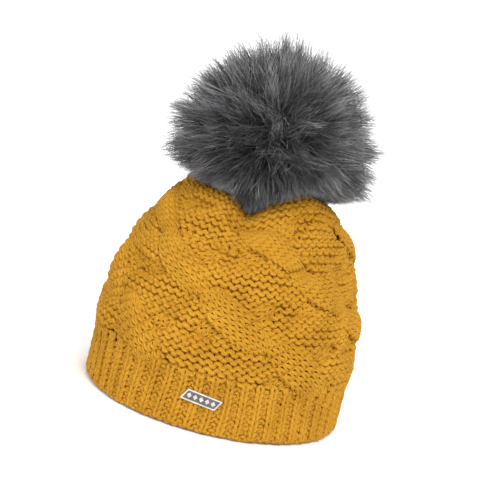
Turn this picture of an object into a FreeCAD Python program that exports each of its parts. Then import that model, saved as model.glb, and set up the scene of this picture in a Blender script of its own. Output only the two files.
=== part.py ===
"""Cable-knit beanie with a press-on faux-fur bobble: one STEP file for each separate piece.

Millimetres, +Z up, origin at the centre of the head opening in the plane of the hem. The hat's front faces -Y.
"""
import FreeCAD
import Part
import math
import os

from FreeCAD import Vector

# Knitted outer: ribbed hem, cable-knit flank, rolled crest and the dimple that the bobble sits in
KNIT_THICK = 7.0
RIB_R = 92.0            # outer radius of the ribbed hem
RIB_H = 40.0
BODY_R = 94.5           # widest outer radius of the cable knit
FLANK_R = 200.0         # radius of the flank's upright curve
FLANK_Z = 34.0          # height at which the flank is upright
CREST_Z = 152.0         # height at which the flank turns into the crest
CREST_R = 14.0          # outer radius of the crest's roll
CREST_END = 150.0       # degrees, where the crest's roll turns into the dimple
FLOOR_Z = 143.0         # top of the dimple's floor
HOLE_R = 14.2           # the gathered centre tips inside this hole
EDGE_ROUND = 1.6        # rounding of the hem's lower edges

# Gathered centre, which tips with the bobble
NOD_Z = FLOOR_Z - KNIT_THICK / 2
ROSETTE_R = 13.0
DRAW_R, DRAW_WIRE = 11.2, 1.0
PATCH_R, PATCH_THICK = 9.8, 1.4

# Press stud
POST_R, POST_BORE_R, CLOTH_HOLE_R = 1.5, 1.55, 1.7
CAP_R, CAP_THICK = 6.0, 1.5
STUD_FLANGE_R, STUD_FLANGE = 6.25, 1.0
STUD_NECK_R, STUD_NECK = 2.1, 1.4
STUD_HEAD_R, STUD_HEAD, STUD_HEAD_ROUND = 2.6, 1.8, 0.7
SOCKET_GAP = 0.3        # between the stud's flange and the socket
SOCKET_H, SOCKET_BORE_R, SOCKET_BORE = 4.1, 2.75, 3.2
SPRING_R, SPRING_WIRE, SPRING_Z = 2.95, 0.25, 0.65
GROOVE_R, GROOVE_H = 3.3, 0.64

# Bobble
BASE_R, BASE_THICK = 8.5, 1.2
SWAY_Z = 151.0
CORE_Z, CORE_R, BACKING_THICK = 189.0, 33.0, 1.5
MOUTH_Z, NECK_R, NECK_Z = 158.0, 7.5, 152.4
FIT = 0.3               # gap between the bobble's layers
FILLING_FLAT = 160.0
UNDERFUR_R = 50.0
CLEAR_CONE = 45.0       # degrees above level that the stiff underfur keeps clear of the crest
FUR_R, FUR_Z, FUR_ARC = 71.0, 201.0, 63.0
FUR_MOUTH_R, FUR_MOUTH_Z = 11.5, 158.0
FUR_CREST_Z = 159.2     # underside of the long pile above the crest
FUR_LOW_Z = 162.0       # where the long pile's side begins
STRING_R, STRING_WIRE, STRING_Z = 10.2, 0.8, 154.5

# Fleece lining
LINING_INSET, FLEECE = 11.5, 2.6
BAND_Z, BAND_TOP = 8.0, 42.0
SHOULDER_Z, SHOULDER_R = 100.0, 44.0
GORES = ("front", "right", "back", "left")
SEAM_TURN, SEAM_RISE, SEAM_END_R = 1.8, 1.05, 9.0

# Thread, label and badge
HEM_STITCHES, HEM_STITCH_Z, THREAD_R = 60, 12.0, 0.45
SEAM_WIDTH = 5.0
LABEL_W, LABEL_Z, LABEL_Y, LABEL_THICK = 28.0, 10.0, 78.2, 0.7
LABEL_TOP = 41.5
LABEL_STITCHES = 7
BADGE_L, BADGE_H, BADGE_LEAN = 29.0, 8.2, 3.6
BADGE_THICK, BADGE_RELIEF, BADGE_RIM = 1.2, 0.55, 1.0
BADGE_Z, BADGE_TURN, BADGE_ROLL = 25.0, -3.4, 7.0
BADGE_Y = RIB_R + 0.15
PIN_X, PIN_R, PIN_HOLE_R = 8.0, 0.8, 0.9
WASHER_R, WASHER_OUT, WASHER_IN = 3.0, 84.0, 83.3

Z_AXIS = Vector(0, 0, 1)
ORIGIN = Vector(0, 0, 0)
FLANK_CENTRE = (BODY_R - FLANK_R, FLANK_Z)
CREST_START = math.degrees(math.asin((CREST_Z - FLANK_Z) / FLANK_R))


def polar(centre, radius, degrees):
    turn = math.radians(degrees)
    return Vector(centre[0] + radius * math.cos(turn), 0, centre[1] + radius * math.sin(turn))


CREST_TIP = polar(FLANK_CENTRE, FLANK_R - CREST_R, CREST_START)
CREST_CENTRE = (CREST_TIP.x, CREST_TIP.z)
DIP_TOP = polar(CREST_CENTRE, CREST_R, CREST_END)
DIP_R = (DIP_TOP.z - FLOOR_Z) / (1 - math.sin(math.radians(CREST_END)))
DIP_CENTRE = (DIP_TOP.x + DIP_R * math.cos(math.radians(CREST_END)), FLOOR_Z + DIP_R)


def arc_edge(centre, radius, start, end):
    middle = (start + end) / 2
    return Part.Arc(polar(centre, radius, start), polar(centre, radius, middle),
                    polar(centre, radius, end)).toShape()


def line_edge(a, b):
    return Part.LineSegment(a, b).toShape()


def flank_angle(inset, z):
    return math.degrees(math.asin((z - FLANK_Z) / (FLANK_R - inset)))


def revolve(edges, start=0.0, turn=360.0):
    """Solid of revolution about Z from edges in the XZ plane."""
    face = Part.Face(Part.Wire(Part.__sortEdges__(edges)))
    face.rotate(ORIGIN, Z_AXIS, start)
    return face.revolve(ORIGIN, Z_AXIS, turn)


def polygon(points):
    corners = [Vector(r, 0, z) for r, z in points]
    return [line_edge(a, b) for a, b in zip(corners, corners[1:] + corners[:1])]


def disc(radius, z, height, hole=0.0):
    solid = Part.makeCylinder(radius, height, Vector(0, 0, z))
    if hole:
        solid = solid.cut(Part.makeCylinder(hole, height + 2, Vector(0, 0, z - 1)))
    return solid


def ring(radius, wire, z):
    return Part.makeTorus(radius, wire, Vector(0, 0, z), Z_AXIS)


def knit_edges(inset, top_z=None):
    """The flank, crest, dip and floor at a depth inside the knit's outer face, and its two end points."""
    low = flank_angle(inset, RIB_H)
    if top_z is not None:
        high = flank_angle(inset, top_z)
        ends = (polar(FLANK_CENTRE, FLANK_R - inset, low), polar(FLANK_CENTRE, FLANK_R - inset, high))
        return [arc_edge(FLANK_CENTRE, FLANK_R - inset, low, high)], ends
    floor_start = Vector(DIP_CENTRE[0], 0, FLOOR_Z - inset)
    floor_end = Vector(HOLE_R, 0, FLOOR_Z - inset)
    edges = [
        arc_edge(FLANK_CENTRE, FLANK_R - inset, low, CREST_START),
        arc_edge(CREST_CENTRE, CREST_R - inset, CREST_START, CREST_END),
        arc_edge(DIP_CENTRE, DIP_R + inset, CREST_END - 180, -90),
        line_edge(floor_start, floor_end),
    ]
    return edges, (polar(FLANK_CENTRE, FLANK_R - inset, low), floor_end)


def shell_between(outer, inner, start=0.0, turn=360.0):
    """The solid between two chains of edges, each given with its two end points."""
    caps = [line_edge(outer[1][k], inner[1][k]) for k in (0, 1)]
    return revolve(outer[0] + inner[0] + caps, start, turn)


def cable_knit_body():
    return shell_between(knit_edges(0), knit_edges(KNIT_THICK))


def pin_holes(radius):
    length = KNIT_THICK + 6
    pins = [Part.makeCylinder(radius, length, Vector(x, -BADGE_Y, 0), Vector(0, 1, 0))
            for x in (-PIN_X, PIN_X)]
    return place_badge(Part.makeCompound(pins))


def ribbed_hem():
    inner = RIB_R - KNIT_THICK
    tube = disc(RIB_R, 0, RIB_H, hole=inner)
    lower = [e for e in tube.Edges if abs(e.BoundBox.ZMax) < 1e-6 and abs(e.BoundBox.ZMin) < 1e-6]
    return tube.makeFillet(EDGE_ROUND, lower).cut(pin_holes(PIN_HOLE_R))


def lining_edges(inset, end_r):
    """The dome's chain of edges at a depth inside the knit's outer face, from the band up to a radius."""
    at_shoulder = math.degrees(math.asin((SHOULDER_Z - FLANK_Z) / (FLANK_R - LINING_INSET)))
    joined = polar(FLANK_CENTRE, FLANK_R - LINING_INSET - SHOULDER_R, at_shoulder)
    centre = (joined.x, joined.z)
    radius = SHOULDER_R + LINING_INSET - inset
    low = flank_angle(inset, BAND_TOP)
    top_outer = Vector(centre[0], 0, centre[1] + radius)
    top_inner = Vector(end_r, 0, centre[1] + radius)
    edges = [
        arc_edge(FLANK_CENTRE, FLANK_R - inset, low, at_shoulder),
        arc_edge(centre, radius, at_shoulder, 90),
        line_edge(top_outer, top_inner),
    ]
    return edges, (polar(FLANK_CENTRE, FLANK_R - inset, low), top_inner)


def lining_gore(index):
    """One quarter of the fleece dome. Its outer and inner faces meet on the hat's axis."""
    outer = lining_edges(LINING_INSET, 0)
    inner = lining_edges(LINING_INSET + FLEECE, 0)
    return shell_between(outer, inner, start=225 + 90 * index, turn=90)


def lining_seams():
    """The raised seams where the four gores meet, on the side that the head touches."""
    outer = lining_edges(LINING_INSET + FLEECE, SEAM_END_R)
    inner = lining_edges(LINING_INSET + FLEECE + SEAM_RISE, SEAM_END_R)
    starts = [45 + 90 * k - SEAM_TURN / 2 for k in range(4)]
    return Part.makeCompound([shell_between(outer, inner, s, SEAM_TURN) for s in starts])


def lining_band():
    outer = BODY_R - LINING_INSET
    return disc(outer, BAND_Z, BAND_TOP - BAND_Z, hole=outer - FLEECE)


def hem_stitches():
    """Threads that sew the lining's lower edge to the ribbing, all round."""
    inside = BODY_R - LINING_INSET - FLEECE - THREAD_R
    length = RIB_R - KNIT_THICK + 1.5 - inside
    threads = []
    for k in range(HEM_STITCHES):
        turn = 2 * math.pi * (k + 0.5) / HEM_STITCHES
        way = Vector(math.cos(turn), math.sin(turn), 0)
        threads.append(Part.makeCylinder(THREAD_R, length, way * inside + Z_AXIS * HEM_STITCH_Z, way))
    return Part.makeCompound(threads)


def back_seam():
    """The seam allowance that closes the flat-knitted panel, inside the knit at the centre back."""
    turn = math.degrees(SEAM_WIDTH / BODY_R)
    rib_in = RIB_R - KNIT_THICK
    rib_part = revolve(polygon([(rib_in - 0.05, 3), (rib_in - 1.6, 3),
                                (rib_in - 1.6, RIB_H - 0.5), (rib_in - 0.05, RIB_H - 0.5)]),
                       90 - turn / 2, turn)
    outer = knit_edges(KNIT_THICK + 0.05, top_z=138)
    inner = knit_edges(KNIT_THICK + 2.0, top_z=138)
    body_part = shell_between(outer, inner, 90 - turn / 2, turn)
    return Part.makeCompound([rib_part, body_part])


def crown_rosette():
    return disc(ROSETTE_R, FLOOR_Z - KNIT_THICK, KNIT_THICK, hole=CLOTH_HOLE_R)


def crown_drawthread():
    return ring(DRAW_R, DRAW_WIRE, FLOOR_Z - KNIT_THICK - DRAW_WIRE - 0.1)


def crown_patch():
    return disc(PATCH_R, FLOOR_Z - KNIT_THICK - PATCH_THICK, PATCH_THICK, hole=CLOTH_HOLE_R)


def stud_cap():
    """The inner cap, whose post goes up through the cloth into the stud."""
    top = FLOOR_Z - KNIT_THICK - PATCH_THICK
    cap = disc(CAP_R, top - CAP_THICK, CAP_THICK)
    rim = [e for e in cap.Edges if abs(e.BoundBox.ZMax - (top - CAP_THICK)) < 1e-6]
    post = disc(POST_R, top, FLOOR_Z + 1.6 - top)
    return cap.makeFillet(0.6, rim).fuse(post).removeSplitter()


def snap_stud():
    z = FLOOR_Z
    flange = disc(STUD_FLANGE_R, z, STUD_FLANGE)
    neck = disc(STUD_NECK_R, z + STUD_FLANGE, STUD_NECK)
    head = disc(STUD_HEAD_R, z + STUD_FLANGE + STUD_NECK, STUD_HEAD)
    top = z + STUD_FLANGE + STUD_NECK + STUD_HEAD
    rim = [e for e in head.Edges if abs(e.BoundBox.ZMin - top) < 1e-6]
    head = head.makeFillet(STUD_HEAD_ROUND, rim)
    bore = disc(POST_BORE_R, z - 1, 2.7)
    return flange.fuse([neck, head]).removeSplitter().cut(bore)


def snap_socket():
    z = FLOOR_Z + STUD_FLANGE + SOCKET_GAP
    body = disc(STUD_FLANGE_R, z, SOCKET_H)
    rim = [e for e in body.Edges if abs(e.BoundBox.ZMax - z) < 1e-6]
    body = body.makeFillet(0.5, rim)
    groove = disc(GROOVE_R, z + SPRING_Z - GROOVE_H / 2, GROOVE_H)
    cavity = disc(SOCKET_BORE_R, z - 1, SOCKET_BORE + 1)
    bore = disc(POST_BORE_R, z, SOCKET_H + 1)
    return body.cut(cavity.fuse([groove, bore]))


def socket_spring():
    return ring(SPRING_R, SPRING_WIRE, FLOOR_Z + STUD_FLANGE + SOCKET_GAP + SPRING_Z)


def base_bottom():
    return FLOOR_Z + STUD_FLANGE + SOCKET_GAP + SOCKET_H


def bobble_base():
    return disc(BASE_R, base_bottom(), BASE_THICK, hole=CLOTH_HOLE_R)


def socket_cap():
    top = base_bottom() + BASE_THICK
    cap = disc(CAP_R - 0.5, top, CAP_THICK - 0.2)
    post_end = FLOOR_Z + STUD_FLANGE + SOCKET_GAP + SOCKET_BORE + 0.1
    return cap.fuse(disc(POST_R, post_end, top - post_end)).removeSplitter()


def sphere(radius):
    return Part.makeSphere(radius, Vector(0, 0, CORE_Z))


def mouth_radius(radius):
    return math.sqrt(radius ** 2 - (CORE_Z - MOUTH_Z) ** 2)


def bobble_backing():
    """The woven ground of the fur, drawn in to a neck at its mouth."""
    inner_r = CORE_R - BACKING_THICK
    below = Part.makeCylinder(FUR_R, MOUTH_Z, ORIGIN)
    ball = sphere(CORE_R).cut(sphere(inner_r)).cut(below)
    wide, inner_wide = mouth_radius(CORE_R), mouth_radius(inner_r)
    neck = revolve(polygon([(inner_wide, MOUTH_Z), (wide, MOUTH_Z),
                            (NECK_R, NECK_Z), (NECK_R - BACKING_THICK, NECK_Z)]))
    return ball.fuse(neck).removeSplitter()


def bobble_filling():
    below = Part.makeCylinder(FUR_R, FILLING_FLAT, ORIGIN)
    return sphere(CORE_R - BACKING_THICK - FIT).cut(below)


def bobble_drawstring():
    return ring(STRING_R, STRING_WIRE, STRING_Z)


def underfur_envelope(grow):
    """The stiff inner pile: a ball, cut to a cone below so that it clears the crest when the bobble tips."""
    apex = NOD_Z + 1.0 - grow * math.sqrt(2)
    reach = 2 * FUR_R
    rise = reach * math.tan(math.radians(CLEAR_CONE))
    cone = revolve(polygon([(0, apex), (reach, apex + rise), (0, apex + rise)]))
    lower = Part.makeCylinder(FUR_R, MOUTH_Z + 2 - grow, ORIGIN)
    return sphere(UNDERFUR_R + grow).common(cone).cut(lower)


def bobble_underfur():
    return underfur_envelope(0).cut(sphere(CORE_R + FIT))


def bobble_guard_hair():
    """The long outer pile, which bends wherever it meets the crown."""
    centre = (FUR_R - FUR_ARC, FUR_Z)
    low_turn = -math.degrees(math.asin((FUR_Z - FUR_LOW_Z) / FUR_ARC))
    side = polar(centre, FUR_ARC, low_turn)
    shoulder = polar(centre, FUR_ARC, 90)
    over_crest = Vector(CREST_CENTRE[0], 0, FUR_CREST_Z)
    mouth = Vector(FUR_MOUTH_R, 0, FUR_MOUTH_Z)
    foot = Vector(0, 0, FUR_MOUTH_Z)
    top = Vector(0, 0, FUR_Z + FUR_ARC)
    whole = revolve([
        line_edge(foot, mouth),
        line_edge(mouth, over_crest),
        line_edge(over_crest, side),
        arc_edge(centre, FUR_ARC, low_turn, 90),
        line_edge(shoulder, top),
        line_edge(top, foot),
    ])
    throat = Part.makeCylinder(FUR_MOUTH_R, 30, Vector(0, 0, 140))
    return whole.cut(underfur_envelope(FIT)).cut(sphere(CORE_R + FIT)).cut(throat)


def care_label():
    return Part.makeBox(LABEL_W, LABEL_THICK, LABEL_TOP - LABEL_Z, Vector(-LABEL_W / 2, LABEL_Y, LABEL_Z))


def label_stitches():
    """Threads through the lining just above the label's folded edge."""
    pitch = LABEL_W / LABEL_STITCHES
    threads = []
    for k in range(LABEL_STITCHES):
        x = pitch * (k - (LABEL_STITCHES - 1) / 2)
        skin = math.sqrt((BODY_R - LINING_INSET - FLEECE) ** 2 - x ** 2)
        start = Vector(x, LABEL_Y, LABEL_TOP + 2 * THREAD_R + 0.4)
        threads.append(Part.makeCylinder(THREAD_R, skin + 0.4 - LABEL_Y, start, Vector(0, 1, 0)))
    return Part.makeCompound(threads)


def place_badge(shape):
    """From the badge's own place at x = 0 in front of the rib, rolled, raised and turned round the hem."""
    shape.rotate(ORIGIN, Vector(0, 1, 0), BADGE_ROLL)
    shape.translate(Vector(0, 0, BADGE_Z))
    shape.rotate(ORIGIN, Z_AXIS, BADGE_TURN)
    return shape


def slanted_plate(length, height, lean, near, thick):
    """A parallelogram plate facing -Y, its back at y = -near."""
    half, rise = length / 2, height / 2
    shift = lean * height / BADGE_H / 2
    corners = [(-half - shift, -rise), (half - shift, -rise), (half + shift, rise), (-half + shift, rise)]
    points = [Vector(x, -near, z) for x, z in corners]
    face = Part.Face(Part.makePolygon(points + points[:1]))
    return face.extrude(Vector(0, -thick, 0))


def badge_plate():
    """A plain slanted plate with a raised rim, a row of raised lozenges and two pins."""
    long, lean = BADGE_L - BADGE_LEAN, BADGE_LEAN
    plate = slanted_plate(long, BADGE_H, lean, BADGE_Y, BADGE_THICK)
    front = BADGE_Y + BADGE_THICK
    rim = slanted_plate(long, BADGE_H, lean, front, BADGE_RELIEF)
    well = slanted_plate(long - 2 * BADGE_RIM, BADGE_H - 2 * BADGE_RIM, lean, front, BADGE_RELIEF)
    lozenges = []
    for k in range(5):
        x = (k - 2) * 4.4
        tips = [(x - 1.7, 0), (x, -2.0), (x + 1.7, 0), (x, 2.0)]
        points = [Vector(a, -front, b) for a, b in tips]
        lozenge = Part.Face(Part.makePolygon(points + points[:1]))
        lozenges.append(lozenge.extrude(Vector(0, -BADGE_RELIEF, 0)))
    pins = [Part.makeCylinder(PIN_R, BADGE_Y - WASHER_IN, Vector(x, -BADGE_Y, 0), Vector(0, 1, 0))
            for x in (-PIN_X, PIN_X)]
    return place_badge(plate.fuse([rim.cut(well)] + lozenges + pins).removeSplitter())


def badge_washers():
    thick = WASHER_OUT - WASHER_IN
    found = []
    for x in (-PIN_X, PIN_X):
        start = Vector(x, -WASHER_OUT, 0)
        washer = Part.makeCylinder(WASHER_R, thick, start, Vector(0, 1, 0))
        hole = Part.makeCylinder(PIN_R + 0.02, thick + 2, start - Vector(0, 1, 0), Vector(0, 1, 0))
        found.append(washer.cut(hole))
    return place_badge(Part.makeCompound(found))


def all_parts():
    parts = {
        "ribbed_hem": ribbed_hem(),
        "cable_knit_body": cable_knit_body(),
        "back_seam": back_seam(),
        "lining_band": lining_band(),
        "lining_seams": lining_seams(),
        "hem_stitches": hem_stitches(),
        "badge_plate": badge_plate(),
        "badge_washers": badge_washers(),
        "care_label": care_label(),
        "label_stitches": label_stitches(),
        "crown_rosette": crown_rosette(),
        "crown_drawthread": crown_drawthread(),
        "crown_patch": crown_patch(),
        "stud_cap": stud_cap(),
        "snap_stud": snap_stud(),
        "snap_socket": snap_socket(),
        "socket_spring": socket_spring(),
        "socket_cap": socket_cap(),
        "bobble_base": bobble_base(),
        "bobble_backing": bobble_backing(),
        "bobble_filling": bobble_filling(),
        "bobble_drawstring": bobble_drawstring(),
        "bobble_underfur": bobble_underfur(),
        "bobble_guard_hair": bobble_guard_hair(),
    }
    for index, side in enumerate(GORES):
        parts["lining_gore_" + side] = lining_gore(index)
    return parts


def main():
    os.makedirs("parts", exist_ok=True)
    for name, shape in all_parts().items():
        solids = shape.Solids
        valid = shape.isValid() and all(s.isClosed() for s in solids)
        print(f"{name}: {len(solids)} solids, {shape.Volume:.0f} mm3, valid {valid}")
        shape.exportStep(f"parts/{name}.step")


main()
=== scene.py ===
import math

import bpy
import numpy as np
from mathutils import Matrix, Vector


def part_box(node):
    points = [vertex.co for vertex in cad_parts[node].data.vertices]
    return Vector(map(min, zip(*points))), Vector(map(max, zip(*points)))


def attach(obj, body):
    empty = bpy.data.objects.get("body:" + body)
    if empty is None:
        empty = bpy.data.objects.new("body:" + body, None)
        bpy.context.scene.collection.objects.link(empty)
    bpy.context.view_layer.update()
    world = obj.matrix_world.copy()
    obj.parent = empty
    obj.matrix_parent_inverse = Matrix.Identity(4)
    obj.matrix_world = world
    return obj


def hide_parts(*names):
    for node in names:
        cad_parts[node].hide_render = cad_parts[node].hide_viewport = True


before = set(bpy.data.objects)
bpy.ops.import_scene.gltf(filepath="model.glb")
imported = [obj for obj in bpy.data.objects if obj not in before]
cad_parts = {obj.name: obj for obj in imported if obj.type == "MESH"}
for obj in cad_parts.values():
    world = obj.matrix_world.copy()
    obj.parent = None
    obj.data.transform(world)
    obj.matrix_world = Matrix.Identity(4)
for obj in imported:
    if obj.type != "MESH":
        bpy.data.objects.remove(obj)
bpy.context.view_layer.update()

MM = 0.001
SEED = 11
TINY = 1e-9
UP = np.array([0, 0, 1.0])


def low_mm(node):
    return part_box(node)[0] / MM


def high_mm(node):
    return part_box(node)[1] / MM


# The hat's outer face, as in the CAD model, in millimetres
BODY_R = high_mm("cable_knit_body").x
RIB_R = high_mm("ribbed_hem").x
RIB_TOP = high_mm("ribbed_hem").z
FLOOR_Z = high_mm("crown_rosette").z
LINING_INSET = BODY_R - high_mm("lining_band").x
FLANK_R, FLANK_Z = 200.0, 34.0
FLANK_X = BODY_R - FLANK_R
CREST_R, CREST_Z = 14.0, 152.0
CREST_START = math.asin((CREST_Z - FLANK_Z) / FLANK_R)
CREST_END = math.radians(150)
RIB_BLEND = 6.0         # above and below the ribbing's top, where the ribbing swells into the flank
FLOOR_END_R = 14.0      # where the dimple's floor meets the gathered centre
FLEECE = 2.6
SHOULDER_Z, SHOULDER_R = 100.0, 44.0
SPACING = 0.5           # between the points of the hat's section
SMOOTHED = 9            # points over which the section's direction is averaged

# How the knitted shell departs from a turned one
LEAN_WAVE, LEAN_LENGTH = 0.018, 16.0
CROWN_LUMPS = (         # lift in mm, azimuth and half width in degrees
    (10.0, 44, 27), (-11.0, -5, 13), (-1.5, -60, 30), (-4.5, 104, 14),
    (4.0, 145, 24), (-5.0, -118, 13), (3.5, -155, 22), (-4.0, 182, 11),
)
LUMP_BELOW, LUMP_INSIDE = 34.0, 17.0
GATHER_DEPTH, GATHER_FOLDS = 1.2, 3.5
SAGS = ((0.5, 2, 0.6, 40), (0.6, 5, 0, 23))     # depth, folds round the hat, shift, length up it
SAG_START, SAG_RAMP = 30.0, 30.0


# ---------------------------------------------------------------- shapes

def arc(centre, radius, start, end):
    turn = np.linspace(start, end, max(3, int(abs(end - start) * radius)))
    return np.stack([centre[0] + radius * np.cos(turn), centre[1] + radius * np.sin(turn)], 1)


def resample(points, step=SPACING):
    """Evenly spaced points on a line, with their outward normals and distances along it."""
    gap = np.linalg.norm(np.diff(points, axis=0), axis=1)
    points = points[np.concatenate([[True], gap > 1e-6])]
    walked = np.concatenate([[0], np.cumsum(np.linalg.norm(np.diff(points, axis=0), axis=1))])
    at = np.arange(0, walked[-1], step)
    line = np.stack([np.interp(at, walked, points[:, k]) for k in (0, 1)], 1)
    ahead = np.gradient(line, axis=0)
    smooth = np.stack([np.convolve(np.pad(ahead[:, k], SMOOTHED // 2, "edge"), np.ones(SMOOTHED), "valid")
                       for k in (0, 1)], 1)
    smooth /= np.linalg.norm(smooth, axis=1, keepdims=True)
    return at, line, np.stack([smooth[:, 1], -smooth[:, 0]], 1)


def hat_line():
    """The outer face in section, from the hem's edge over the crest and down into the dimple."""
    rib = np.array([(RIB_R, z) for z in np.arange(0.0, RIB_TOP - RIB_BLEND)])
    flank_start = math.asin((RIB_TOP + RIB_BLEND - FLANK_Z) / FLANK_R)
    tip = (FLANK_X + (FLANK_R - CREST_R) * math.cos(CREST_START),
           FLANK_Z + (FLANK_R - CREST_R) * math.sin(CREST_START))
    dip_top = (tip[0] + CREST_R * math.cos(CREST_END), tip[1] + CREST_R * math.sin(CREST_END))
    dip_r = (dip_top[1] - FLOOR_Z) / (1 - math.sin(CREST_END))
    dip = (dip_top[0] + dip_r * math.cos(CREST_END), FLOOR_Z + dip_r)
    return np.concatenate([
        rib,
        arc((FLANK_X, FLANK_Z), FLANK_R, flank_start, CREST_START),
        arc(tip, CREST_R, CREST_START, CREST_END),
        arc(dip, dip_r, CREST_END - math.pi, -math.pi / 2),
        np.array([(FLOOR_END_R, FLOOR_Z)]),
    ])


ALONG, LINE, NORMAL = resample(hat_line())
CREST_S = ALONG[np.argmax(LINE[:, 1])]


def s_at(z):
    """Distance up the flank at which the outer face reaches a height."""
    rising = ALONG <= CREST_S
    return np.interp(z, LINE[rising, 1], ALONG[rising])


def bump(angle, centre, width):
    """A smooth rise of 1 at an azimuth in degrees."""
    off = (np.degrees(angle) - centre + 180) % 360 - 180
    return np.exp(-(off / width) ** 2)


def crown_lift(phi):
    """How far the gathered crown stands above the plain crest, round the hat."""
    return sum(lift * bump(phi, centre, width) for lift, centre, width in CROWN_LUMPS)


def on_hat(phi, s, h):
    """Points in mm at an azimuth (0 at the front, + towards +X), distance up the face and height over it."""
    r = np.interp(s, ALONG, LINE[:, 0])
    z = np.interp(s, ALONG, LINE[:, 1])
    nr = np.interp(s, ALONG, NORMAL[:, 0])
    nz = np.interp(s, ALONG, NORMAL[:, 1])
    phi = phi + LEAN_WAVE * np.sin(3 * phi + s / LEAN_LENGTH)
    near = np.exp(-((s - CREST_S) / np.where(s < CREST_S, LUMP_BELOW, LUMP_INSIDE)) ** 2)
    soft = sum(depth * np.sin(folds * phi + shift + s / length) for depth, folds, shift, length in SAGS)
    soft = soft * np.clip((s - SAG_START) / SAG_RAMP, 0, 1)
    r = r + nr * (h + soft) - near * GATHER_DEPTH * np.abs(np.sin(GATHER_FOLDS * phi + 0.4))
    z = z + nz * h + crown_lift(phi) * near
    return np.stack([r * np.sin(phi), -r * np.cos(phi), z], -1)


def out_of_hat(phi, s):
    """The outward direction at points on the hat's face."""
    nr = np.interp(s, ALONG, NORMAL[:, 0])
    nz = np.interp(s, ALONG, NORMAL[:, 1])
    return np.stack([nr * np.sin(phi), -nr * np.cos(phi), nz + 0 * phi], -1)


def unit(v):
    """Vectors brought to length 1."""
    return v / np.maximum(np.linalg.norm(v, axis=-1, keepdims=True), TINY)


def tubes(paths, lifts, radii, sides=6, closed=False):
    """Vertices, faces and twist coordinates of round tubes along paths shaped (tube, point, 3)."""
    ahead = np.roll(paths, -1, 1) - np.roll(paths, 1, 1) if closed else np.gradient(paths, axis=1)
    ahead = unit(ahead)
    side = unit(np.cross(ahead, lifts))
    up = np.cross(side, ahead)
    turn = np.arange(sides) * 2 * np.pi / sides
    ring = (side[..., None, :] * np.cos(turn)[:, None] + up[..., None, :] * np.sin(turn)[:, None])
    verts = paths[..., None, :] + ring * radii[..., None, None]
    count, length = paths.shape[:2]
    index = np.arange(count * length * sides).reshape(count, length, sides)
    here = index if closed else index[:, :-1]
    there = np.roll(index, -1, 1) if closed else index[:, 1:]
    faces = [np.stack([here, there, np.roll(there, -1, 2), np.roll(here, -1, 2)], -1).reshape(-1, 4)]
    if not closed:
        faces.append(index[:, 0, :])
        faces.append(index[:, -1, ::-1])
    walked = np.concatenate([np.zeros((count, 1)),
                             np.cumsum(np.linalg.norm(np.diff(paths, axis=1), axis=2), 1)], 1)
    twist = np.stack([np.broadcast_to(np.cos(turn), index.shape), np.broadcast_to(np.sin(turn), index.shape),
                      np.broadcast_to(walked[..., None], index.shape)], -1)
    return verts.reshape(-1, 3), faces, twist.reshape(-1, 3)


def lathe(sections, whole=True):
    """A closed section carried round the axis, all the way or with two end faces: (around, point, 3)."""
    around, size = sections.shape[:2]
    index = np.arange(around * size).reshape(around, size)
    here = index if whole else index[:-1]
    there = np.roll(index, -1, 0) if whole else index[1:]
    faces = [np.stack([here, there, np.roll(there, -1, 1), np.roll(here, -1, 1)], -1).reshape(-1, 4)]
    if not whole:
        faces += [index[:1], index[-1:, ::-1]]
    return sections.reshape(-1, 3), faces


def round_turn(count):
    """Evenly spaced azimuths, once round."""
    return np.linspace(0, 2 * np.pi, count + 1)[:-1]


def turned(r, turn, z):
    """Points at a radius, azimuth and height."""
    return np.stack([r * np.sin(turn), -r * np.cos(turn), z], -1)


def joined(parts):
    """Several (vertices, faces, twist) groups as one."""
    verts, faces, twist, base = [], [], [], 0
    for v, f, t in parts:
        verts.append(v)
        faces.extend(x + base for x in f)
        twist.append(t)
        base += len(v)
    return np.concatenate(verts), faces, np.concatenate(twist)


def piece(name, verts, faces, material, body, slot=None, twist=None, shade=None, smooth=True):
    """A mesh object from points in mm, riding on a body."""
    mesh = bpy.data.meshes.new(name)
    mesh.vertices.add(len(verts))
    mesh.vertices.foreach_set("co", (np.asarray(verts) * MM).astype(np.float32).ravel())
    corners = np.concatenate([f.ravel() for f in faces]).astype(np.int32)
    sizes = np.concatenate([np.full(len(f), f.shape[1]) for f in faces])
    starts = np.concatenate([[0], np.cumsum(sizes)[:-1]]).astype(np.int32)
    mesh.loops.add(len(corners))
    mesh.loops.foreach_set("vertex_index", corners)
    mesh.polygons.add(len(starts))
    mesh.polygons.foreach_set("loop_start", starts)
    mesh.update(calc_edges=True)
    mesh.validate()
    mesh.polygons.foreach_set("use_smooth", np.full(len(mesh.polygons), smooth))
    if twist is not None:
        layer = mesh.attributes.new("twist", "FLOAT_VECTOR", "POINT")
        layer.data.foreach_set("vector", twist.astype(np.float32).ravel())
    if shade is not None:
        layer = mesh.attributes.new("shade", "FLOAT", "POINT")
        layer.data.foreach_set("value", shade.astype(np.float32).ravel())
    mesh.materials.append(material)
    obj = bpy.data.objects.new(name, mesh)
    bpy.context.collection.objects.link(obj)
    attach(obj, body)
    return obj


def waves(points, length, seed, count=14):
    """Smooth noise between about -1 and 1 at points in mm, with features of a given length."""
    rng = np.random.default_rng(seed)
    ways = unit(rng.normal(size=(count, 3))) * rng.uniform(0.7, 1.4, (count, 1)) * 2 * np.pi / length
    shift = rng.uniform(0, 2 * np.pi, count)
    return np.sin(points @ ways.T + shift).sum(-1) / math.sqrt(count)


# ---------------------------------------------------------------- materials

def nodes_of(name):
    """A new material, its node tree and its shader."""
    mat = bpy.data.materials.new(name)
    mat.use_nodes = True
    tree = mat.node_tree
    return mat, tree, tree.nodes["Principled BSDF"]


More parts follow.
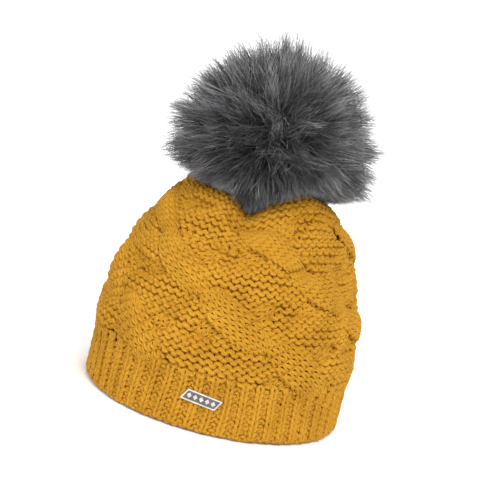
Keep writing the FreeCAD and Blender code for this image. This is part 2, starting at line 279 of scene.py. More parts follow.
def node(tree, kind, **values):
    """A new node with its properties and its inputs' values set."""
    made = tree.nodes.new(kind)
    for key, value in values.items():
        if hasattr(made, key):
            setattr(made, key, value)
        else:
            made.inputs[key.replace("_", " ")].default_value = value
    return made


def ramp(tree, source, stops):
    """A colour ramp driven by a value."""
    made = tree.nodes.new("ShaderNodeValToRGB")
    elements = made.color_ramp.elements
    while len(elements) < len(stops):
        elements.new(0.5)
    for element, (at, colour) in zip(elements, stops):
        element.position = at
        element.color = (*colour, 1)
    tree.links.new(source, made.inputs[0])
    return made.outputs[0]


def maths(tree, operation, a, b=None):
    """One step of arithmetic on values or sockets."""
    made = tree.nodes.new("ShaderNodeMath")
    made.operation = operation
    for socket, value in zip(made.inputs, (a, b)):
        if value is None:
            continue
        if isinstance(value, (int, float)):
            socket.default_value = value
        else:
            tree.links.new(value, socket)
    return made.outputs[0]


def add_bump(tree, shader, height, strength, distance):
    """Fine relief on a shader's normal."""
    made = node(tree, "ShaderNodeBump", Strength=strength, Distance=distance)
    tree.links.new(height, made.inputs["Height"])
    tree.links.new(made.outputs[0], shader.inputs["Normal"])


def position(tree):
    """Places on the piece, in metres."""
    return tree.nodes.new("ShaderNodeTexCoord").outputs["Object"]


def noise(tree, scale, detail=3.0, roughness=0.6):
    """Solid noise, from about 0.3 to 0.7."""
    made = node(tree, "ShaderNodeTexNoise", Scale=scale, Detail=detail, Roughness=roughness)
    tree.links.new(position(tree), made.inputs["Vector"])
    return made.outputs["Fac"]


def yarn_material(name, dark, middle, light, plies=3, ply_turn=700.0, sheen=0.25):
    """Plied yarn: strands wound round each tube, with flecks of lighter and darker fibre and painted shade in
    the grooves between the plies.
    """
    mat, tree, shader = nodes_of(name)
    twist = node(tree, "ShaderNodeAttribute", attribute_name="twist").outputs["Vector"]
    split = tree.nodes.new("ShaderNodeSeparateXYZ")
    tree.links.new(twist, split.inputs[0])
    around = maths(tree, "ARCTAN2", split.outputs[1], split.outputs[0])
    wound = maths(tree, "ADD", maths(tree, "MULTIPLY", around, plies),
                  maths(tree, "MULTIPLY", split.outputs[2], ply_turn * MM))
    ply = maths(tree, "SINE", wound)
    fleck = noise(tree, 1400, 4.0, 0.7)
    patch = noise(tree, 45, 3.0)
    mix = maths(tree, "ADD", maths(tree, "MULTIPLY", fleck, 0.55), maths(tree, "MULTIPLY", patch, 0.45))
    # the ply wave also darkens the colour in the grooves between the plies: painted shade
    mix = maths(tree, "ADD", mix, maths(tree, "MULTIPLY", ply, 0.05))
    tree.links.new(ramp(tree, mix, [(0.3, dark), (0.5, middle), (0.7, light)]), shader.inputs["Base Color"])
    height = maths(tree, "ADD", ply, maths(tree, "MULTIPLY", fleck, 1.5))
    add_bump(tree, shader, height, 0.6, 0.0004)
    shader.inputs["Roughness"].default_value = 0.92
    shader.inputs["Specular IOR Level"].default_value = 0.2
    shader.inputs["Sheen Weight"].default_value = sheen
    shader.inputs["Sheen Roughness"].default_value = 0.5
    shader.inputs["Sheen Tint"].default_value = (*light, 1)
    return mat


def fibre_material(name, dark, light, scale, depth, sheen=0.4, rough=0.95):
    """Brushed or pressed cloth: short matted fibres."""
    mat, tree, shader = nodes_of(name)
    fine = noise(tree, scale, 5.0, 0.75)
    broad = noise(tree, scale / 14, 2.0)
    mix = maths(tree, "ADD", maths(tree, "MULTIPLY", fine, 0.6), maths(tree, "MULTIPLY", broad, 0.4))
    tree.links.new(ramp(tree, mix, [(0.3, dark), (0.68, light)]), shader.inputs["Base Color"])
    add_bump(tree, shader, fine, 0.7, depth)
    shader.inputs["Roughness"].default_value = rough
    shader.inputs["Specular IOR Level"].default_value = 0.2
    shader.inputs["Sheen Weight"].default_value = sheen
    shader.inputs["Sheen Roughness"].default_value = 0.6
    shader.inputs["Sheen Tint"].default_value = (*light, 1)
    return mat


def metal_material(name, dark, light, rough_low, rough_high, metallic=1.0):
    """Plated metal with fine scratches and slightly duller patches."""
    mat, tree, shader = nodes_of(name)
    worn = noise(tree, 260, 4.0)
    fine = noise(tree, 2600, 3.0)
    tree.links.new(ramp(tree, worn, [(0.3, dark), (0.65, light)]), shader.inputs["Base Color"])
    span = maths(tree, "MULTIPLY", worn, rough_high - rough_low)
    tree.links.new(maths(tree, "ADD", span, rough_low), shader.inputs["Roughness"])
    add_bump(tree, shader, fine, 0.15, 0.0001)
    shader.inputs["Metallic"].default_value = metallic
    return mat


def satin_material(name):
    """Woven satin tape: fine crosswise ribs and a soft gloss."""
    mat, tree, shader = nodes_of(name)
    weave = node(tree, "ShaderNodeTexWave", Scale=900.0, Distortion=0.6)
    weave.bands_direction = "Z"
    tree.links.new(position(tree), weave.inputs["Vector"])
    soil = noise(tree, 180, 3.0)
    tree.links.new(ramp(tree, soil, [(0.3, (0.72, 0.70, 0.65)), (0.6, (0.84, 0.83, 0.79))]),
                   shader.inputs["Base Color"])
    add_bump(tree, shader, weave.outputs["Fac"], 0.5, 0.0002)
    shader.inputs["Roughness"].default_value = 0.45
    return mat


def fur_material(name, root, middle, tip, grey_spread):
    """Fur pile: darker at the root, paler and greyer at the tip, each lock its own shade."""
    mat, tree, shader = nodes_of(name)
    shade = node(tree, "ShaderNodeAttribute", attribute_name="shade").outputs["Fac"]
    streak = maths(tree, "MULTIPLY", maths(tree, "SUBTRACT", noise(tree, 500, 2.0), 0.5), grey_spread)
    tree.links.new(ramp(tree, maths(tree, "ADD", shade, streak), [(0.1, root), (0.5, middle), (0.95, tip)]),
                   shader.inputs["Base Color"])
    shader.inputs["Roughness"].default_value = 0.55
    shader.inputs["Specular IOR Level"].default_value = 0.35
    shader.inputs["Sheen Weight"].default_value = 0.15
    return mat


YARN_DARK, YARN_MID, YARN_LIGHT = (0.37, 0.165, 0.010), (0.54, 0.262, 0.018), (0.67, 0.350, 0.036)
YARN = yarn_material("mustard_yarn_plied", YARN_DARK, YARN_MID, YARN_LIGHT)
THREAD = yarn_material("mustard_thread_twisted", YARN_DARK, YARN_MID, YARN_LIGHT, plies=2, ply_turn=2500.0)
# a dark brown copy of the yarn for the skin behind the loops: painted shade seen between the stitches
BACKING_PAINTED_SHADE = fibre_material("mustard_yarn_shadow", (0.20, 0.075, 0.006), (0.36, 0.145, 0.012), 900, 0.0004)
FLEECE_MAT = fibre_material("mustard_fleece", (0.40, 0.185, 0.016), (0.66, 0.34, 0.045), 700, 0.0012, 0.25)
FELT = fibre_material("charcoal_felt", (0.045, 0.045, 0.05), (0.12, 0.12, 0.13), 1600, 0.0004)
SATIN = satin_material("label_satin_woven")
NICKEL = metal_material("badge_nickel", (0.55, 0.55, 0.56), (0.86, 0.86, 0.88), 0.18, 0.42)
ENAMEL = metal_material("badge_enamel", (0.10, 0.085, 0.07), (0.17, 0.15, 0.13), 0.25, 0.5, metallic=0.4)
SNAP = metal_material("snap_nickel", (0.42, 0.43, 0.45), (0.70, 0.71, 0.74), 0.15, 0.35)
SPRING = metal_material("spring_wire", (0.38, 0.39, 0.41), (0.60, 0.61, 0.64), 0.25, 0.45)
FUR_GROUND = fibre_material("fur_ground_cloth", (0.012, 0.012, 0.014), (0.04, 0.04, 0.044), 1200, 0.0006, 0.1)
FUR_THREAD = yarn_material("fur_drawstring_thread", (0.02, 0.02, 0.022), (0.045, 0.045, 0.05),
                           (0.08, 0.08, 0.085), plies=2, ply_turn=2500.0, sheen=0.1)
FUR = fur_material("charcoal_fur", (0.009, 0.009, 0.010), (0.120, 0.120, 0.125), (0.50, 0.50, 0.505), 0.34)


# ---------------------------------------------------------------- knitting

ROUND_SIDES = 6         # sides of each yarn tube
FACE_H = 1.6            # how far the highest loops stand over the plain face

# Cables: crossings in leaning columns, each half a repeat below its neighbour
COLUMNS, FIRST_COLUMN, COLUMN_STEP, COLUMN_START, LEAN = 9, -4, 40.0, -37.0, 0.2
CABLE_Z, CABLE_DROP, CABLE_PERIOD = 110.0, 27.0, 52.0
CABLE_LOW, CABLE_HIGH, CABLE_MIDDLE = 54.0, 146.0, 83.0
CABLE_X, CABLE_Y, CABLE_W = 24.0, 20.0, 25.0
COVER_WIDTHS = ((1, 0.56), (-1, 0.48))
COVER_DEPTH, COVER_RAMP = 4.2, 3.0
FRONT_STRAND = {"way": 1, "wales": 5, "rows": 12, "lift": 5.6, "yarn": 1.5, "tilt_by": 46}
BACK_STRAND = {"way": -1, "wales": 4, "rows": 10, "lift": 1.6, "yarn": 1.45, "tilt_by": 40}
BACK_RUN = (20.0, 17.0)
STRAND_LOOP, STRAND_DEPTH, STRAND_SINK, STRAND_TUCK = 3.3, 1.15, 3.4, 2.6
STRAND_FALL = (0.38, 0.90)
STRAND_SAMPLES = 8

# Ribbing and purl rounds
RIB_STITCHES, RIB_STEP, RIB_START = 104, 4.2, 5.6
RIB_SWAY, PURL_SWAY = 0.21, 0.17    # how far the loops' sides close in, in stitches
RIB_SUNK = 0.6
RIB = {"samples": 12, "yarn": 1.55, "loop": 3.5, "depth": 1.25, "relief": 1.1}
CAST_ON = {"samples": 10, "yarn": 1.55, "loop": 1.2, "depth": 1.2, "relief": 0.8}
CAST_ON_S = 3.3
RIB_ROWS = np.arange(RIB_START, s_at(RIB_TOP) + 1, RIB_STEP)
BODY_START = RIB_ROWS[-1] + 5.2
ROW = 5.0
PURL = {"samples": 11, "loop": 3.8, "depth": 1.5}
PURL_BANDS = (          # where each band ends, its stitches and its yarn's radius
    (s_at(88), 80, 1.86), (s_at(128), 80, 1.76), (CREST_S, 64, 1.72), (CREST_S + 20, 48, 1.6),
    (CREST_S + 30, 32, 1.4), (ALONG[-1] - 2, 20, 1.4),
)


def cable_centres():
    """Azimuth and distance up the face of each cable crossing: a half-drop pattern of leaning columns."""
    found = []
    for k in range(FIRST_COLUMN, FIRST_COLUMN + COLUMNS):
        z = CABLE_Z - CABLE_DROP * k
        z -= CABLE_PERIOD * math.floor((z - CABLE_LOW) / CABLE_PERIOD)
        while z < CABLE_HIGH:
            lean = LEAN * (z - CABLE_MIDDLE)
            found.append((math.radians(COLUMN_START + COLUMN_STEP * k + lean), float(s_at(z)), z))
            z += CABLE_PERIOD
    return found


CABLES = cable_centres()


def cable_cover(phi, s):
    """How far a point lies under a cable, from 0 outside to 1 well inside."""
    cover = np.zeros(np.broadcast(phi, s).shape)
    r = np.interp(s, ALONG, LINE[:, 0])
    for centre, height, _ in CABLES:
        v = -(s - height) / CABLE_Y
        off = (phi - centre + np.pi) % (2 * np.pi) - np.pi
        ends = np.clip(4 * (1.05 - np.abs(v)), 0, 1)
        for way, wide in COVER_WIDTHS:
            u = off * r - way * CABLE_X * np.sin(np.clip(v, -1, 1) * np.pi / 2)
            inside = ends * np.clip((wide * CABLE_W - np.abs(u)) / COVER_RAMP, 0, 1)
            cover = np.maximum(cover, inside)
    return cover


def yarn_course(stitches, s, samples, yarn, loop, depth, relief):
    """One knitted round, a closed line of loops. With a relief it is 1x1 rib, without one it is purl."""
    t = np.arange(stitches * samples) / samples
    sway = (RIB_SWAY if relief else PURL_SWAY) * np.sin(4 * np.pi * t)
    phi = math.pi + (t + sway) * 2 * np.pi / stitches
    wander = 0.35 * np.sin(phi * 7 + s) + 0.25 * np.sin(phi * 17 + s * 1.7)
    along = s + loop * np.cos(2 * np.pi * t) + wander
    rib = np.cos(np.pi * t)
    face = rib if relief else -1.0
    h = -face * depth * np.cos(4 * np.pi * t)
    if relief:
        h = h + relief * (rib - RIB_SUNK)
    h = h + (-depth - yarn + FACE_H) + 0.2 * np.sin(phi * 23 + s * 2.1)
    return phi, along, h


def course_group(rounds, stitches, samples, yarn, loop, depth, relief=0.0):
    """Tubes for several rounds of the same stitch count. Purl rounds dip under the cables."""
    paths, lifts = [], []
    for s in rounds:
        phi, along, h = yarn_course(stitches, s, samples, yarn, loop, depth, relief)
        if not relief:
            h = h - COVER_DEPTH * cable_cover(phi, along)
        paths.append(on_hat(phi, along, h))
        lifts.append(out_of_hat(phi, along))
    paths, lifts = np.array(paths), np.array(lifts)
    rng = np.random.default_rng(SEED + stitches)
    radii = yarn * (1 + 0.05 * rng.standard_normal(paths.shape[:2]))
    return tubes(paths, lifts, radii, ROUND_SIDES, closed=True)


def ribbing():
    """The hem's rounds and its cast-on edge."""
    rounds = course_group(RIB_ROWS, RIB_STITCHES, **RIB)
    edge = course_group([CAST_ON_S], RIB_STITCHES, **CAST_ON)
    return joined([rounds, edge])


def purl_ground():
    """The purl rounds in bands, with fewer stitches where the crown narrows."""
    made = []
    row = BODY_START
    for end, stitches, yarn in PURL_BANDS:
        rounds = []
        while row < end:
            rounds.append(row)
            row += ROW
        if rounds:
            made.append(course_group(rounds, stitches, yarn=yarn, **PURL))
    return made


def cable_strand(centre, height, run, way, wales, rows, lift, yarn, tilt_by):
    """One strand of a crossing: short knitted rounds that run across it, S-shaped from end to end."""
    t = np.arange(wales * STRAND_SAMPLES + 1) / STRAND_SAMPLES
    v, t = np.meshgrid(np.linspace(-0.96, 0.96, rows), t, indexing="ij")
    r = np.interp(height - run[1] * v, ALONG, LINE[:, 0])
    shrink = np.clip(r / BODY_R, 0.6, 1)
    bend = np.cos(v * np.pi / 2)
    across = (t / wales - 0.5) * CABLE_W * shrink * (0.62 + 0.38 * bend)
    across = across + 0.27 * CABLE_W / wales * np.sin(4 * np.pi * t)
    tilt = way * np.radians(tilt_by) * bend
    dx = way * run[0] * np.pi / 2 * bend
    dy = -run[1] * np.ones_like(v)
    size = np.hypot(dx, dy)
    loop = STRAND_LOOP * np.cos(2 * np.pi * t)
    x = way * run[0] * shrink * np.sin(v * np.pi / 2) + across * np.cos(tilt) - loop * dx / size
    y = -run[1] * v + across * np.sin(tilt) - loop * dy / size
    edge = 2 * t / wales - 1
    fall = np.where(edge < 0, *STRAND_FALL)
    rise = lift * np.sqrt(1 - fall * edge ** 2) * np.clip(bend, 0, 1) ** 0.5
    h = -STRAND_DEPTH * np.cos(4 * np.pi * t) + rise - STRAND_SINK - STRAND_TUCK * (1 - bend)
    phi = centre + x / r
    s = height + y
    radii = np.full(phi.shape, yarn) * (0.88 + 0.12 * bend)
    return tubes(on_hat(phi, s, h), out_of_hat(phi, s), radii, ROUND_SIDES)


def cables():
    """The strands that cross in front, each a little different in slope, and those behind them."""
    front, back = [], []
    for centre, height, z in CABLES:
        steep = 0.25 * math.cos(centre * 2.3 + z)
        run = (CABLE_X * (1 - steep * 0.5), CABLE_Y * (1 + steep))
        front.append(cable_strand(centre, height, run, **FRONT_STRAND))
        back.append(cable_strand(centre, height, BACK_RUN, **BACK_STRAND))
    return joined(front), joined(back)


def knit_backing():
    """The inner side of the knitting, a closed skin behind the loops, coloured dark as painted shade seen
    between them.
    """
    outer_h, inner_h = -4.9, -6.6
    s = np.arange(1.5, ALONG[-1] - 1, 2.5)
    section_s = np.concatenate([s, s[::-1]])
    section_h = np.concatenate([np.full(len(s), outer_h), np.full(len(s), inner_h)])
    p, k = np.meshgrid(round_turn(180), np.arange(len(section_s)), indexing="ij")
    return lathe(on_hat(p, section_s[k], section_h[k]))


def seam_yarn():
    """Mattress stitches that close the knitting at the centre back, showing as a fine ladder."""
    points, start, yarn = 620, 4, 1.15
    s = start + np.linspace(0, 1, points) * (CREST_S + 4)
    phase = s / ROW * 2 * np.pi
    outside = (math.pi + 0.022 * np.sin(phase), s, -1.6 + 1.0 * np.cos(phase))
    inside = (math.pi + 0.020 * np.sin(phase), s, -7.2 + 0.5 * np.cos(phase))
    paths = np.array([on_hat(*line) for line in (outside, inside)])
    lifts = np.array([out_of_hat(*line[:2]) for line in (outside, inside)])
    return tubes(paths, lifts, np.full(paths.shape[:2], yarn), ROUND_SIDES)


def rosette():
    """Gathered loops round the middle of the crown."""
    loops, rim_r, rim_sunk, rim_yarn = 17, 11.6, 5.6, 1.3
    t = np.linspace(0, 1, 15)
    paths = []
    for k in range(loops):
        turn = 2 * np.pi * k / loops
        r = 3.2 + 8.2 * np.sin(np.pi * t / 2)
        z = FLOOR_Z - 2.0 - 2.6 * (1 - np.sin(np.pi * t)) + 0.5 * math.sin(3 * turn)
        paths.append(turned(r, turn + 0.35 * t, z))
    paths = np.array(paths)
    radii = np.tile(1.25 + 0.7 * t, (loops, 1))
    petals = tubes(paths, np.broadcast_to(UP, paths.shape), radii, ROUND_SIDES)
    turn = round_turn(60)
    rim = turned(rim_r, turn, FLOOR_Z - rim_sunk + 0.3 * np.sin(9 * turn))[None]
    rim_radii = np.full(rim.shape[:2], rim_yarn)
    loop = tubes(rim, np.broadcast_to(UP, rim.shape), rim_radii, ROUND_SIDES, closed=True)
    return joined([petals, loop])


verts, faces, twist = ribbing()
hem = piece("knit_hem", verts, faces, YARN, "hat", "mustard_yarn", twist=twist)
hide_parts("ribbed_hem")
for number, (verts, faces, twist) in enumerate(purl_ground()):
    band = piece(f"knit_purl_{number}", verts, faces, YARN, "hat", "mustard_yarn", twist=twist)
    if number == 0:
        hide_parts("cable_knit_body")
for name, group in zip(("knit_cable_front", "knit_cable_back"), cables()):
    piece(name, group[0], group[1], YARN, "hat", "mustard_yarn", twist=group[2])
# the skin behind the loops is dark to stand in for the shade between them: painted shade
piece("knit_reverse_painted_shade", *knit_backing(), BACKING_PAINTED_SHADE, "hat", "mustard_yarn")
verts, faces, twist = seam_yarn()
seam = piece("back_seam_yarn", verts, faces, YARN, "hat", "mustard_yarn", twist=twist)
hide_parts("back_seam")
verts, faces, twist = rosette()
middle = piece("crown_gathers", verts, faces, YARN, "stud_mount", "mustard_yarn", twist=twist)
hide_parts("crown_rosette")


# ---------------------------------------------------------------- fleece lining

BAND_LOW, BAND_TOP = low_mm("lining_band").z, high_mm("lining_band").z
SEAM_PINCH = 0.09       # radians either side of a seam over which the fleece is drawn in
DOME_MIDDLE = np.array([0, 0, 55.0])
SEAM_SIDES = 8


def dome_line(inset, start_z, end_r):
    """The lining's section at a depth inside the outer face."""
    at = math.asin((SHOULDER_Z - FLANK_Z) / (FLANK_R - LINING_INSET))
    reach = FLANK_R - LINING_INSET - SHOULDER_R
    centre = (FLANK_X + reach * math.cos(at), FLANK_Z + reach * math.sin(at))
    radius = SHOULDER_R + LINING_INSET - inset
    low = math.asin((start_z - FLANK_Z) / (FLANK_R - inset))
    points = np.concatenate([
        arc((FLANK_X, FLANK_Z), FLANK_R - inset, low, at),
        arc(centre, radius, at, math.pi / 2),
        np.array([(end_r, centre[1] + radius)]),
    ])
    return resample(points, 2.2)[1]


def fleece_gore(middle):
    """A quarter of the dome, slightly puffed between its seams, with a matted inner face."""
    rings, start_z, end_r = 44, BAND_TOP + 0.2, 0.8
    outer = dome_line(LINING_INSET, start_z, end_r)
    inner = dome_line(LINING_INSET + FLEECE, start_z, end_r)
    section = np.concatenate([outer, inner[::-1]])
    face = np.concatenate([np.zeros(len(outer)), np.ones(len(inner))])
    phi = np.linspace(-np.pi / 4, np.pi / 4, rings)
    pinch = np.clip((np.abs(phi) - np.pi / 4 + SEAM_PINCH) / SEAM_PINCH, 0, 1) ** 2
    made = []
    for angle, drawn_in in zip(phi, pinch):
        ring = turned(section[:, 0], middle + angle, section[:, 1])
        puff = 0.45 * waves(ring, 4.5, 5) + 0.35 * waves(ring, 11, 6) + 0.9 * drawn_in
        made.append(ring - unit(ring - DOME_MIDDLE) * (face * puff)[:, None])
    return lathe(np.array(made), whole=False)


def fleece_band():
    """The fleece behind the ribbing, matted on its inner face."""
    outer, inner = BODY_R - LINING_INSET, BODY_R - LINING_INSET - FLEECE
    z = np.linspace(BAND_LOW, BAND_TOP, 18)
    section_r = np.concatenate([np.full(len(z), outer), np.full(len(z), inner)])
    section_z = np.concatenate([z, z[::-1]])
    p, k = np.meshgrid(round_turn(240), np.arange(len(section_z)), indexing="ij")
    rings = turned(section_r[k], p, section_z[k])
    inward = unit(rings * np.array([-1, -1, 0]))
    face = (k >= len(z)).astype(float)
    puff = 0.4 * waves(rings, 4.5, 8) + 0.3 * waves(rings, 12, 9)
    return lathe(rings + inward * (face * puff)[..., None])


band = piece("fleece_band", *fleece_band(), FLEECE_MAT, "hat", "fleece")
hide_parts("lining_band")
for side, quarter in zip(("front", "right", "back", "left"), range(4)):
    gore = piece(f"fleece_gore_{side}", *fleece_gore(quarter * np.pi / 2), FLEECE_MAT, "hat", "fleece")
    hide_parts(f"lining_gore_{side}")


def seam_ridges():
    """Rounded seams between the gores, and the overlocked join to the band."""
    line = dome_line(LINING_INSET + FLEECE + 0.7, BAND_TOP + 0.5, 8.0)
    paths = np.array([turned(line[:, 0], np.pi / 4 + k * np.pi / 2, line[:, 1]) for k in range(4)])
    wave = 1.0 + 0.12 * np.sin(np.arange(paths.shape[1]) * 2.4)
    sideways = np.broadcast_to(np.array([0.3, 0.2, 1.0]), paths.shape)
    ridges = tubes(paths, sideways, np.tile(wave, (4, 1)), SEAM_SIDES)
    turn = round_turn(360)
    r = BODY_R - LINING_INSET - FLEECE - 0.1
    ring = turned(r, turn, BAND_TOP + 0.25 * np.sin(60 * turn))[None]
    ring_radii = np.full(ring.shape[:2], 0.9)
    join = tubes(ring, np.broadcast_to(UP, ring.shape), ring_radii, SEAM_SIDES, closed=True)
    return joined([ridges, join])


verts, faces, twist = seam_ridges()
ridges = piece("fleece_seams", verts, faces, THREAD, "hat", "fleece", twist=twist)
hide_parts("lining_seams")


# ---------------------------------------------------------------- label, badge and metal

def label_flap():
    """A folded satin tab that curls a little away from the lining."""
    low, high = low_mm("care_label"), high_mm("care_label")
    half_thick = 0.3
    uu, ww = np.meshgrid(np.linspace(low.x, high.x, 15), np.linspace(high.z, low.z, 18), indexing="ij")
    drop = (high.z - ww) / (high.z - low.z)
    curl = -1.6 * drop ** 2 - 0.5 * np.sin(drop * 3.0) * np.cos(uu / 9)
    middle = (low.y + high.y) / 2
    front = np.stack([uu, middle - half_thick + curl, ww], -1)
    back = np.stack([uu, middle + half_thick + curl, ww], -1)
    verts = np.concatenate([front.reshape(-1, 3), back.reshape(-1, 3)])
    over = uu.size
    index = np.arange(over).reshape(uu.shape)
    a, b, c, d = index[:-1, :-1], index[1:, :-1], index[1:, 1:], index[:-1, 1:]
    faces = [np.stack([a, d, c, b], -1).reshape(-1, 4), np.stack([a, b, c, d], -1).reshape(-1, 4) + over]
    rim = np.concatenate([index[:, 0], index[-1, 1:], index[-2::-1, -1], index[0, -2:0:-1]])
    after = np.roll(rim, -1)
    faces.append(np.stack([rim, after, after + over, rim + over], -1))
    return verts, faces


label = piece("label_tab", *label_flap(), SATIN, "label", "label_satin")
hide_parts("care_label")


BADGE_FACE_Y, BADGE_THICK, BADGE_Z = 92.15, 1.2, 25
BADGE_TURN, BADGE_ROLL, BADGE_SLANT = -3.4, 7, 3.6 / 8.2
WELL_HALF_L, WELL_HALF_H, ENAMEL_THICK, ENAMEL_SUNK = 11.75, 3.15, 0.22, 0.1


def badge_inlay():
    """Dark enamel in the well of the badge, below the rim and the lozenges."""
    face = BADGE_FACE_Y + BADGE_THICK
    lean = BADGE_SLANT * WELL_HALF_H
    corners = [(-WELL_HALF_L - lean, -WELL_HALF_H), (WELL_HALF_L - lean, -WELL_HALF_H),
               (WELL_HALF_L + lean, WELL_HALF_H), (-WELL_HALF_L + lean, WELL_HALF_H)]
    points = [(x, y, z) for y in (-face + ENAMEL_SUNK, -face - ENAMEL_THICK) for x, z in corners]
    faces = [np.array([[0, 1, 2, 3], [7, 6, 5, 4], [0, 4, 5, 1], [1, 5, 6, 2], [2, 6, 7, 3], [3, 7, 4, 0]])]
    roll = Matrix.Rotation(math.radians(BADGE_ROLL), 4, "Y")
    turn = Matrix.Rotation(math.radians(BADGE_TURN), 4, "Z")
    place = turn @ Matrix.Translation((0, 0, BADGE_Z)) @ roll
    return np.array([place @ Vector(p) for p in points]), faces


piece("badge_enamel", *badge_inlay(), ENAMEL, "hat", "badge_metal", smooth=False)

FINISHES = {
    "badge_plate": NICKEL, "badge_washers": NICKEL, "hem_stitches": THREAD, "label_stitches": THREAD,
    "crown_drawthread": THREAD, "crown_patch": FELT, "stud_cap": SNAP, "snap_stud": SNAP,
    "snap_socket": SNAP, "socket_cap": SNAP, "socket_spring": SPRING, "bobble_base": FELT,
    "bobble_drawstring": FUR_THREAD,
}
for name, material in FINISHES.items():
    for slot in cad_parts[name].material_slots:
        slot.material = material


# ---------------------------------------------------------------- bobble

CORE_R = high_mm("bobble_backing").x
CORE = np.array([0, 0, high_mm("bobble_backing").z - CORE_R])
MOUTH_Z = low_mm("bobble_backing").z
MOUTH_IN_R, MOUTH_OUT_R = 5.9, 7.4
PLEATS, PLEAT_DEPTH, PLEAT_HEIGHT = 14, 0.06, 12

PARTS = 5               # the long pile is split into this many pieces, to keep each one small
PARTING = unit(np.array([-0.10, -1.0, 0.10]))
CREST_FUR_Z = 159.0     # lowest that hair reaches over the plain crest
CROWN_CLEARANCE = ([10, 22, 36, 45, 56, 66, 76], [-13, -11, -3, 0, 2, 5, 9])
SHORTER, SHORTENINGS = 0.86, 9
DROOP = 7.5             # how far a level hair's tip hangs, in mm
# painted shade: how much darker the hairs that point into the parting, front and back, are made
PARTING_PAINTED_SHADE = 0.17
HAIR_SIDES = 3


def bobble_core():
    """The stuffed ground ball, drawn in with pleats to its mouth."""
    low = math.asin((MOUTH_Z + 6 - CORE[2]) / CORE_R)
    ball = arc((0, CORE[2]), CORE_R, low, math.pi / 2)
    mouth = [(MOUTH_IN_R, MOUTH_Z), (MOUTH_OUT_R, MOUTH_Z)]
    line = resample(np.concatenate([mouth, ball[:-1], [(0.4, CORE[2] + CORE_R)]]), 1.5)[1]
    p, k = np.meshgrid(round_turn(96), np.arange(len(line)), indexing="ij")
    pleat = np.exp(-((line[k, 1] - MOUTH_Z) / PLEAT_HEIGHT) ** 2)
    r = line[k, 0] * (1 - PLEAT_DEPTH * pleat * (0.5 + 0.5 * np.sin(PLEATS * p)))
    return lathe(turned(r, p, line[k, 1]))


def lock_directions(locks, lowest, rng):
    """Directions spread evenly over the ball, down to a height, and each one a little off."""
    k = np.arange(locks) + 0.5
    z = 1 - k / locks * (1 - lowest)
    turn = np.pi * (1 + 5 ** 0.5) * k
    flat = np.sqrt(1 - z ** 2)
    out = np.stack([flat * np.cos(turn), flat * np.sin(turn), z], 1)
    return unit(out + 0.10 * rng.normal(size=out.shape))


def pile(locks, per_lock, length, spread, root_r, tip_r, seed, points=6, lowest=-0.62):
    """Locks of tapered hairs standing out of the ball: paths, radii and shades, with painted shade on the
    hairs that point into the parting.
    """
    rng = np.random.default_rng(seed)
    out = lock_directions(locks, lowest, rng)
    lock_len = length * rng.uniform(0.70, 1.14, locks) * (1 + 0.10 * np.clip(out[:, 2], 0, 1))
    swirl = np.cross(out, unit(rng.normal(size=out.shape)))
    parting = np.where(out[:, 1:2] < 0, 1, -1) * PARTING
    facing = (out * parting).sum(1, keepdims=True)
    away = unit(facing * out - parting) * np.abs(facing) * np.sqrt(1 - np.minimum(facing ** 2, 1))
    sweep = unit(swirl) * rng.uniform(4.0, 15.0, (locks, 1)) + away * rng.uniform(9, 28, (locks, 1))
    lock_shade = rng.uniform(-0.29, 0.31, locks)
    out = np.repeat(out, per_lock, 0)
    sweep = np.repeat(sweep, per_lock, 0)
    hairs = len(out)
    hair_len = np.repeat(lock_len, per_lock) * rng.uniform(0.82, 1.06, hairs)
    scatter = rng.normal(size=(hairs, 3)) * spread
    scatter -= (scatter * out).sum(1, keepdims=True) * out
    stray = rng.normal(size=(hairs, 3)) * rng.choice([1.0, 3.2], hairs, p=[0.8, 0.2])[:, None]
    root = CORE + out * (CORE_R - 1.0)
    t = np.linspace(0, 1, points)[None, :, None]
    level = np.sqrt(1 - out[:, 2] ** 2)[:, None, None]
    paths = root[:, None] + out[:, None] * (hair_len[:, None, None] * t)
    paths = paths + scatter[:, None] * (1 - 0.76 * t ** 1.3) * (1 + 0.9 * t)
    paths = paths + sweep[:, None] * t ** 2 + stray[:, None] * t ** 1.7
    paths[..., 2] -= (level * DROOP * t ** 2)[..., 0]
    paths = clear_of_crown(paths)
    thin = np.linspace(0, 1, points) ** 1.6
    radii = root_r * (1 - thin) + tip_r * thin
    radii = radii[None] * rng.uniform(0.75, 1.25, (hairs, 1))
    shade = 0.10 + 0.50 * t[..., 0] ** 1.4 + np.repeat(lock_shade, per_lock)[:, None]
    shade = shade + rng.normal(size=(hairs, 1)) * 0.07
    # hairs that point into the parting, front and back, are darkened: painted shade of the pile's depth
    shade = shade - PARTING_PAINTED_SHADE * np.repeat(np.abs(facing[:, 0]) ** 3, per_lock)[:, None]
    return paths, radii, shade


def clear_of_crown(paths):
    """Hairs that would run into the knitted crown are shorter, as their tips are bent back into the pile."""
    root = paths[:, :1].copy()
    for _ in range(SHORTENINGS):
        phi = np.arctan2(paths[..., 0], -paths[..., 1])
        r = np.hypot(paths[..., 0], paths[..., 1])
        lowest = CREST_FUR_Z + crown_lift(phi) + np.interp(r, *CROWN_CLEARANCE)
        low = (paths[..., 2] < lowest).any(1)
        paths[low] = root[low] + (paths[low] - root[low]) * SHORTER
    return paths


def hair_mesh(paths, radii, shade):
    """Vertices, faces and shades of hairs."""
    lifts = np.broadcast_to(np.array([0.31, 0.23, 0.92]), paths.shape)
    verts, faces, _ = tubes(paths, lifts, radii, HAIR_SIDES)
    return verts, faces, np.repeat(shade.reshape(-1), HAIR_SIDES)


core = piece("bobble_core", *bobble_core(), FUR_GROUND, "bobble", "fur_backing")
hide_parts("bobble_backing", "bobble_filling")

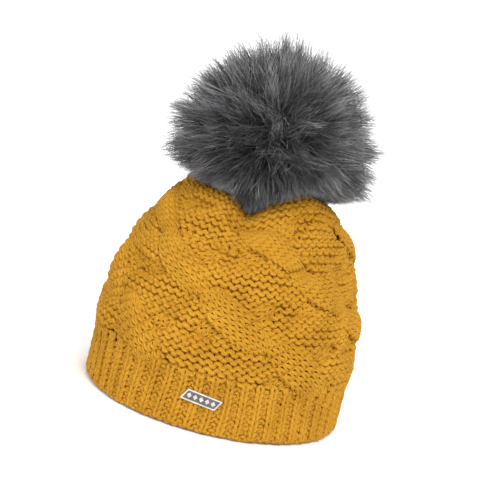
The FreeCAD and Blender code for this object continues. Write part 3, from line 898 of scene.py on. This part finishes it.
under = pile(1640, 6, 25, 2.2, 0.42, 0.10, SEED + 1, points=4, lowest=-0.74)
guard = pile(1900, 13, 43, 3.6, 0.30, 0.05, SEED + 2)
verts, faces, shade = hair_mesh(*under)
under_piece = piece("bobble_short_pile", verts, faces, FUR, "bobble", "fur", shade=shade - 0.12)
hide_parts("bobble_underfur")
for number in range(PARTS):
    verts, faces, shade = hair_mesh(*(values[number::PARTS] for values in guard))
    lock = piece(f"bobble_long_pile_{number}", verts, faces, FUR, "bobble", "guard_fur", shade=shade)
    if number == 0:
        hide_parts("bobble_guard_hair")


# ---------------------------------------------------------------- stage, light and camera

SENSOR = 36.0           # millimetres
FLOOR_DROP = -0.0005    # metres, so that the floor and the hem's lowest yarn never coincide


def floor():
    """A plain white floor, kept from going grey by a little light of its own."""
    mat, tree, shader = nodes_of("floor_white")
    shade = noise(tree, 3.0, 2.0)
    tree.links.new(ramp(tree, shade, [(0.3, (0.93, 0.93, 0.93)), (0.7, (0.95, 0.95, 0.95))]),
                   shader.inputs["Base Color"])
    shader.inputs["Roughness"].default_value = 0.9
    shader.inputs["Emission Color"].default_value = (1, 1, 1, 1)
    shader.inputs["Emission Strength"].default_value = 0.08
    bpy.ops.mesh.primitive_plane_add(size=24, location=(0, 0, FLOOR_DROP))
    made = bpy.context.object
    made.name = "floor"
    made.data.materials.append(mat)


def lamp(name, kind, place, power, target=(0, 0, 0.11), **values):
    """A light that points at the middle of the hat."""
    data = bpy.data.lights.new(name, kind)
    data.energy = power
    for key, value in values.items():
        setattr(data, key, value)
    made = bpy.data.objects.new(name, data)
    made.location = place
    made.rotation_euler = (Vector(target) - Vector(place)).to_track_quat("-Z", "Y").to_euler()
    bpy.context.collection.objects.link(made)


def camera(elevation=14.0, roll=14.0, aim=(0.00205, 0, 0.1129), distance=1.9, frame_width=0.3565):
    """A camera in front of the hat, rolled so that the upright hat leans to the right."""
    up_tilt, turn = math.radians(elevation), math.radians(roll)
    back = Vector((0, -math.cos(up_tilt), math.sin(up_tilt)))
    across = Vector((1, 0, 0))
    up = back.cross(across)
    right = across * math.cos(turn) + up * math.sin(turn)
    above = up * math.cos(turn) - across * math.sin(turn)
    data = bpy.data.cameras.new("camera")
    data.sensor_width = SENSOR
    data.lens = SENSOR * distance / frame_width
    made = bpy.data.objects.new("camera", data)
    rotation = Matrix((right, above, back)).transposed()
    made.matrix_world = Matrix.Translation(Vector(aim) + back * distance) @ rotation.to_4x4()
    bpy.context.collection.objects.link(made)
    bpy.context.scene.camera = made


def surroundings(strength):
    """Even white light from all round."""
    world = bpy.data.worlds.new("studio")
    world.use_nodes = True
    background = world.node_tree.nodes["Background"]
    background.inputs["Color"].default_value = (1, 1, 1, 1)
    background.inputs["Strength"].default_value = strength
    bpy.context.scene.world = world


floor()
surroundings(0.64)
lamp("key", "SUN", (0.30, -1.0, 1.25), 2.25, angle=math.radians(34))
lamp("fill", "AREA", (-1.1, -1.0, 0.8), 5, shape="DISK", size=1.0)
lamp("back", "AREA", (0.5, 1.3, 1.2), 10, shape="DISK", size=1.0)
bpy.context.scene.view_settings.view_transform = "Standard"
camera()
